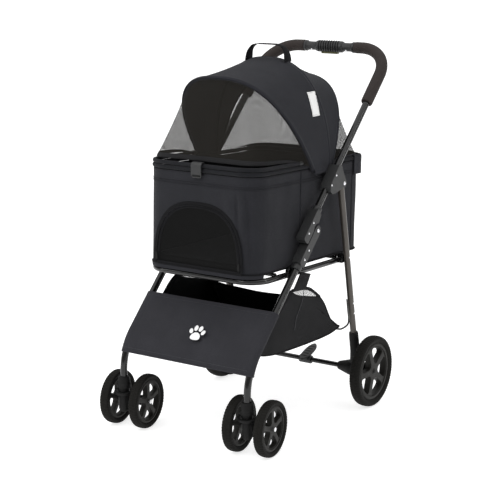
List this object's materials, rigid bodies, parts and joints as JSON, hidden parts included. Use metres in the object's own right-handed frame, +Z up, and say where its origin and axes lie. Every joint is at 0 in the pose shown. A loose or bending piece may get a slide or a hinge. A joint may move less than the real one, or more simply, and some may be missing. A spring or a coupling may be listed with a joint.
{
  "type": "folding pet stroller",
  "caption": "Folding pet stroller: soft carrier with a hooped hood and mesh windows on a folding tube frame with twin front casters and rear wheels.",
  "frame": {"origin": "on the floor, under the middle of the bounding box", "axes": "+Z up, the stroller faces -Y, +X is the stroller's left-hand side seen from behind the handle"},
  "size_m": [0.5417, 0.7898, 1.0258],
  "materials": {
    "black_tube": "gloss black powder-coated steel tube",
    "brown_tube": "satin dark bronze-grey painted tube",
    "charcoal_plastic": "fine-textured charcoal plastic",
    "button_green": "dark olive soft-touch plastic",
    "grip_foam": "closed-cell brown-black foam",
    "tyre": "matt black rubber-like foam tyre",
    "rim_plastic": "dark grey moulded plastic",
    "steel": "zinc-plated rivet steel",
    "canopy_fabric": "charcoal woven polyester, light",
    "tub_fabric": "charcoal woven polyester, coated",
    "mesh_fabric": "open black knitted mesh",
    "pad_fabric": "soft brushed padded fabric"
  },
  "bodies": {
    "front_frame": {"front_leg_L": "black_tube", "front_leg_R": "black_tube", "caster_socket_L": "charcoal_plastic", "caster_socket_R": "charcoal_plastic", "fold_joint_lower_L": "charcoal_plastic", "fold_joint_lower_R": "charcoal_plastic", "fold_pivot_L": "steel", "fold_pivot_R": "steel", "front_cross_tube": "black_tube", "front_panel": "canopy_fabric", "shopping_basket": "tub_fabric"},
    "handle_frame": {"handle_tube": "black_tube", "foam_grip_L": "grip_foam", "foam_grip_R": "grip_foam", "handle_console": "charcoal_plastic", "fold_joint_upper_L": "charcoal_plastic", "fold_joint_upper_R": "charcoal_plastic", "leg_bracket_L": "charcoal_plastic", "leg_bracket_R": "charcoal_plastic", "leg_pivot_L": "steel", "leg_pivot_R": "steel"},
    "release_button": {"release_button": "button_green"},
    "rear_frame": {"rear_leg_L": "brown_tube", "rear_leg_R": "brown_tube", "rear_foot_L": "charcoal_plastic", "rear_foot_R": "charcoal_plastic", "rear_axle_tube": "black_tube", "basket_rear_wire": "black_tube"},
    "brake_pedal": {"brake_pedal": "charcoal_plastic"},
    "rear_wheel_L": {"rear_tyre_L": "tyre", "rear_rim_L": "rim_plastic"},
    "rear_wheel_R": {"rear_tyre_R": "tyre", "rear_rim_R": "rim_plastic"},
    "carrier_ring": {"carrier_ring": "black_tube"},
    "carrier": {"carrier_tub": "tub_fabric", "rim_tube": "tub_fabric", "cabin_mat": "pad_fabric", "rear_mesh": "mesh_fabric"},
    "rear_hoop": {"rear_hoop": "canopy_fabric"},
    "front_door": {"front_door": "mesh_fabric"},
    "middle_hoop": {"middle_hoop": "canopy_fabric", "hood_canopy": "canopy_fabric"},
    "front_hoop": {"front_hoop": "canopy_fabric", "front_mesh": "mesh_fabric"},
    "front_bow": {"front_bow": "tub_fabric"},
    "rim_latch": {"rim_latch": "charcoal_plastic"},
    "caster_L": {"caster_fork_L": "charcoal_plastic", "front_axle_L": "steel"},
    "swivel_lock_L": {"swivel_lock_L": "charcoal_plastic"},
    "front_wheel_inner_L": {"front_tyre_inner_L": "tyre", "front_rim_inner_L": "rim_plastic"},
    "front_wheel_outer_L": {"front_tyre_outer_L": "tyre", "front_rim_outer_L": "rim_plastic"},
    "caster_R": {"caster_fork_R": "charcoal_plastic", "front_axle_R": "steel"},
    "swivel_lock_R": {"swivel_lock_R": "charcoal_plastic"},
    "front_wheel_inner_R": {"front_tyre_inner_R": "tyre", "front_rim_inner_R": "rim_plastic"},
    "front_wheel_outer_R": {"front_tyre_outer_R": "tyre", "front_rim_outer_R": "rim_plastic"}
  },
  "joints": [
    {"name": "frame_fold", "type": "hinge", "parent": "front_frame", "child": "handle_frame", "pos_m": [0, -0.0352, 0.544], "axis": [-1, 0, 0], "range_deg": [0, 130], "deforming": ["shopping_basket"]},
    {"name": "rear_leg_fold", "type": "hinge", "parent": "handle_frame", "child": "rear_frame", "pos_m": [0, 0.0898, 0.655], "axis": [1, 0, 0], "range_deg": [0, 91.2], "deforming": ["shopping_basket"]},
    {"name": "ring_fold", "type": "hinge", "parent": "front_frame", "child": "carrier_ring", "pos_m": [0, -0.1362, 0.449], "axis": [-1, 0, 0], "range_deg": [0, 87.1], "deforming": ["shopping_basket"]},
    {"name": "release_press", "type": "slide", "parent": "handle_frame", "child": "release_button", "axis": [0, 0, 1], "range_m": [0, 0.002], "stiffness_N_per_m": 400},
    {"name": "carrier_lift", "type": "slide", "parent": "carrier_ring", "child": "carrier", "axis": [0, 0.0332, 0.9995], "range_m": [0, 0.1]},
    {"name": "hood_fold", "type": "hinge", "parent": "carrier", "child": "rear_hoop", "pos_m": [0, 0.0668, 0.698], "axis": [-1, 0, 0], "range_deg": [0, 38], "deforming": ["hood_canopy", "front_mesh", "rear_mesh"]},
    {"name": "middle_hoop_fold", "type": "hinge", "parent": "rear_hoop", "child": "middle_hoop", "pos_m": [0, 0.0668, 0.698], "axis": [-1, 0, 0], "range_deg": [0, 20], "deforming": ["hood_canopy", "front_mesh", "rear_mesh"]},
    {"name": "front_hoop_fold", "type": "hinge", "parent": "middle_hoop", "child": "front_hoop", "pos_m": [0, 0.0668, 0.698], "axis": [-1, 0, 0], "range_deg": [0, 25], "deforming": ["hood_canopy", "front_mesh", "rear_mesh"]},
    {"name": "bow_lift", "type": "hinge", "parent": "carrier", "child": "front_bow", "pos_m": [0, -0.05515, 0.72515], "axis": [-1, 0, 0], "range_deg": [0, 110], "deforming": ["hood_canopy", "front_mesh", "rear_mesh"]},
    {"name": "latch_flip", "type": "hinge", "parent": "carrier", "child": "rim_latch", "pos_m": [0, -0.28978, 0.70285], "axis": [1, 0, 0], "range_deg": [0, 75]},
    {"name": "door_open", "type": "hinge", "parent": "carrier", "child": "front_door", "pos_m": [0, -0.29024, 0.46395], "axis": [1, 0, 0], "range_deg": [0, 150]},
    {"name": "pedal_press", "type": "hinge", "parent": "rear_frame", "child": "brake_pedal", "pos_m": [0, 0.1958, 0.1018], "axis": [-1, 0, 0], "range_deg": [0, 22]},
    {"name": "caster_swivel_L", "type": "hinge", "parent": "front_frame", "child": "caster_L", "pos_m": [-0.2014, -0.3542, 0.09], "axis": [0, 0, 1], "continuous": true},
    {"name": "swivel_lock_flip_L", "type": "hinge", "parent": "caster_L", "child": "swivel_lock_L", "pos_m": [-0.20222, -0.34624, 0.108], "axis": [0.9947, 0.1028, 0], "range_deg": [0, 12]},
    {"name": "front_wheel_spin_inner_L", "type": "hinge", "parent": "caster_L", "child": "front_wheel_inner_L", "pos_m": [-0.15988, -0.3104, 0.075], "axis": [0.9947, 0.1028, 0], "continuous": true},
    {"name": "front_wheel_spin_outer_L", "type": "hinge", "parent": "caster_L", "child": "front_wheel_outer_L", "pos_m": [-0.251, -0.31982, 0.075], "axis": [0.9947, 0.1028, 0], "continuous": true},
    {"name": "rear_wheel_spin_L", "type": "hinge", "parent": "rear_frame", "child": "rear_wheel_L", "pos_m": [-0.2551, 0.1958, 0.1018], "axis": [1, 0, 0], "continuous": true},
    {"name": "caster_swivel_R", "type": "hinge", "parent": "front_frame", "child": "caster_R", "pos_m": [0.2014, -0.3542, 0.09], "axis": [0, 0, 1], "continuous": true},
    {"name": "swivel_lock_flip_R", "type": "hinge", "parent": "caster_R", "child": "swivel_lock_R", "pos_m": [0.20066, -0.34623, 0.108], "axis": [0.9957, 0.0924, 0], "range_deg": [0, 12]},
    {"name": "front_wheel_spin_inner_R", "type": "hinge", "parent": "caster_R", "child": "front_wheel_inner_R", "pos_m": [0.15217, -0.3193, 0.075], "axis": [0.9957, 0.0924, 0], "continuous": true},
    {"name": "front_wheel_spin_outer_R", "type": "hinge", "parent": "caster_R", "child": "front_wheel_outer_R", "pos_m": [0.24337, -0.31084, 0.075], "axis": [0.9957, 0.0924, 0], "continuous": true},
    {"name": "rear_wheel_spin_R", "type": "hinge", "parent": "rear_frame", "child": "rear_wheel_R", "pos_m": [0.2551, 0.1958, 0.1018], "axis": [1, 0, 0], "continuous": true}
  ],
  "couplings": [
    {"joint": "rear_leg_fold", "follows": "frame_fold", "ratio": 0.70154},
    {"joint": "ring_fold", "follows": "frame_fold", "ratio": 0.67},
    {"joint": "middle_hoop_fold", "follows": "hood_fold", "ratio": 0.5263},
    {"joint": "front_hoop_fold", "follows": "hood_fold", "ratio": 0.6578},
    {"joint": "bow_lift", "follows": "hood_fold", "ratio": 2.8947}
  ]
}
